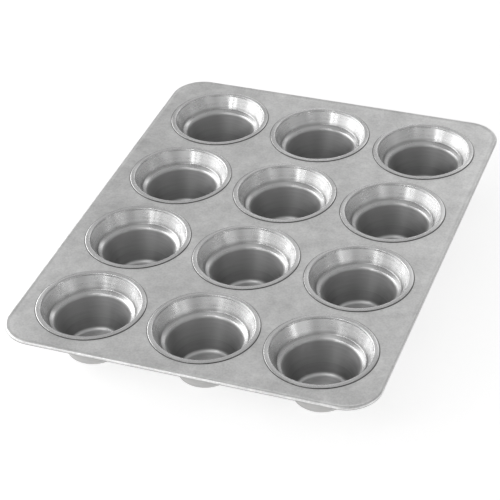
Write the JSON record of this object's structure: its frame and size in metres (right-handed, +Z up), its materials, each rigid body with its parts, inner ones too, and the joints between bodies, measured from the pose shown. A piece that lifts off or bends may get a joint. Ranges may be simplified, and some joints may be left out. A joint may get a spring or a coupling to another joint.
{
  "type": "crown muffin pan",
  "caption": "Sheet-metal baking pan with deep stepped cups, each a flared crown over a tapered well, seamed into a flat sheet with rounded corners and a wire-reinforced curled edge.",
  "frame": {"origin": "under the middle of the pan, at the height of the cups' bottoms", "axes": "+X across the three columns of cups, +Y along the four rows, +Z up out of the cups"},
  "size_m": [0.3588, 0.4718, 0.0515],
  "materials": {
    "sheet_steel": "satin",
    "cup_steel": "satin",
    "wire_steel": "satin"
  },
  "bodies": {
    "root": {"pan_sheet": "sheet_steel", "rim_wire": "wire_steel", "cup_r1_c1": "cup_steel", "cup_r1_c2": "cup_steel", "cup_r1_c3": "cup_steel", "cup_r2_c1": "cup_steel", "cup_r2_c2": "cup_steel", "cup_r2_c3": "cup_steel", "cup_r3_c1": "cup_steel", "cup_r3_c2": "cup_steel", "cup_r3_c3": "cup_steel", "cup_r4_c1": "cup_steel", "cup_r4_c2": "cup_steel", "cup_r4_c3": "cup_steel"}
  },
  "joints": []
}
